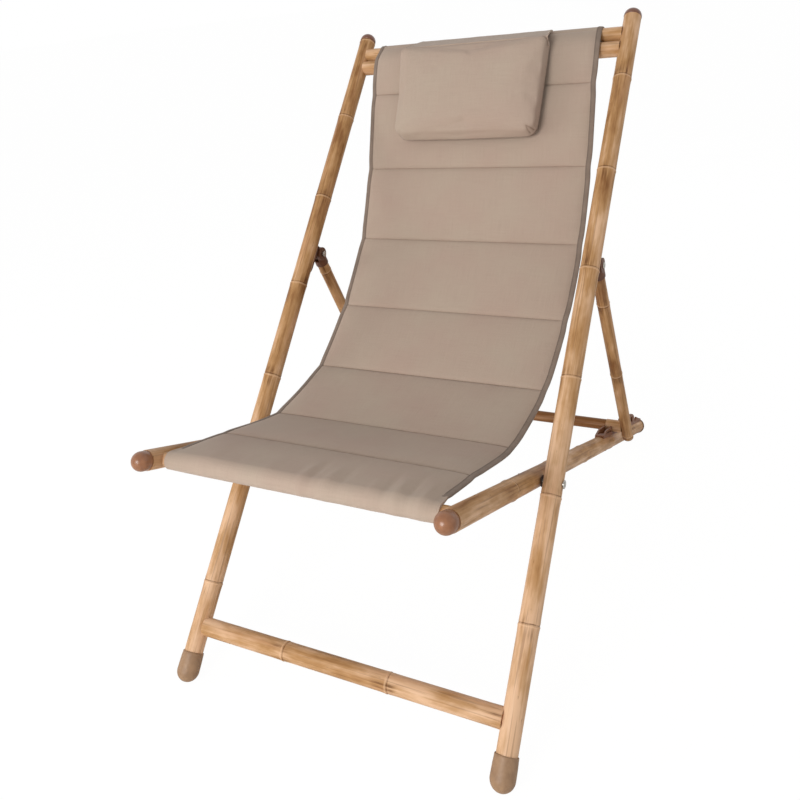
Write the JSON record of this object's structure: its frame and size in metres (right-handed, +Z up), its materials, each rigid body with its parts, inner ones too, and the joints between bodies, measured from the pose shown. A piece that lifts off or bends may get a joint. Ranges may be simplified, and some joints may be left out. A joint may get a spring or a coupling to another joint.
{
  "type": "folding recliner chair",
  "caption": "Folding sling recliner with leaning cane poles, pivoting seat frame, hinged prop frame resting in toothed racks, and padded sling with headrest",
  "frame": {"origin": "on the floor, in the middle of the width and of the depth", "axes": "+Z up, -Y the way a sitter faces, +X to the sitter's left"},
  "size_m": [0.6066, 1.0226, 0.9594],
  "materials": {
    "cane": "satin bamboo with knuckles",
    "dowel_wood": "plain turned wood",
    "foot_rubber": "matte brown rubber",
    "cap_plastic": "brown, half gloss",
    "ball_plastic": "orange brown, glossy",
    "bracket_plastic": "dark brown, fine grain",
    "rack_plastic": "brown, moulded",
    "steel": "zinc plated",
    "quilted_cloth": "taupe woven cloth, quilted",
    "binding_cloth": "grey brown tape"
  },
  "bodies": {
    "main_frame": {"main_pole_right": "cane", "main_pole_left": "cane", "pole_top_cap_right": "cap_plastic", "pole_top_cap_left": "cap_plastic", "foot_boot_right": "foot_rubber", "foot_boot_left": "foot_rubber", "lower_stretcher": "cane", "lower_stretcher_dowel_right": "dowel_wood", "lower_stretcher_dowel_left": "dowel_wood", "top_bar_upper": "cane", "top_bar_upper_dowel_right": "dowel_wood", "top_bar_upper_dowel_left": "dowel_wood", "top_bar_lower": "cane", "top_bar_lower_dowel_right": "dowel_wood", "top_bar_lower_dowel_left": "dowel_wood", "hinge_bracket_right": "bracket_plastic", "hinge_bracket_left": "bracket_plastic", "bracket_screw_upper_right": "steel", "bracket_screw_upper_left": "steel", "bracket_screw_lower_right": "steel", "bracket_screw_lower_left": "steel", "pivot_bolt_right": "steel", "pivot_bolt_left": "steel", "pivot_washer_right": "steel", "pivot_washer_left": "steel", "pivot_nut_right": "steel", "pivot_nut_left": "steel", "sling": "quilted_cloth", "sling_binding_right": "binding_cloth", "sling_binding_left": "binding_cloth", "headrest_cushion": "quilted_cloth", "headrest_flap": "quilted_cloth"},
    "seat_frame": {"seat_rail_right": "cane", "seat_rail_left": "cane", "ball_cap_right": "ball_plastic", "ball_cap_left": "ball_plastic", "rear_cap_right": "foot_rubber", "rear_cap_left": "foot_rubber", "rack_right": "rack_plastic", "rack_left": "rack_plastic", "rack_screw_front_right": "steel", "rack_screw_front_left": "steel", "rack_screw_rear_right": "steel", "rack_screw_rear_left": "steel", "front_bar": "cane"},
    "prop_frame": {"leg_socket_right": "bracket_plastic", "leg_socket_left": "bracket_plastic", "hinge_bolt_right": "steel", "hinge_bolt_left": "steel", "hinge_nut_right": "steel", "hinge_nut_left": "steel", "prop_leg_right": "cane", "prop_leg_left": "cane", "leg_plug_right": "cap_plastic", "leg_plug_left": "cap_plastic", "bar_sleeve_right": "cane", "bar_sleeve_left": "cane", "prop_bar": "cane"}
  },
  "joints": [
    {"name": "seat_fold", "type": "hinge", "parent": "main_frame", "child": "seat_frame", "pos_m": [0, -0.20412, 0.31504], "axis": [1, 0, 0], "range_deg": [0, 58], "deforming": ["sling", "sling_binding_right", "sling_binding_left"]},
    {"name": "prop_swing", "type": "hinge", "parent": "main_frame", "child": "prop_frame", "pos_m": [0, 0.08149, 0.56721], "axis": [1, 0, 0], "range_deg": [0, 110.3]}
  ],
  "couplings": [
    {"joint": "prop_swing", "follows": "seat_fold", "ratio": 1.9}
  ]
}
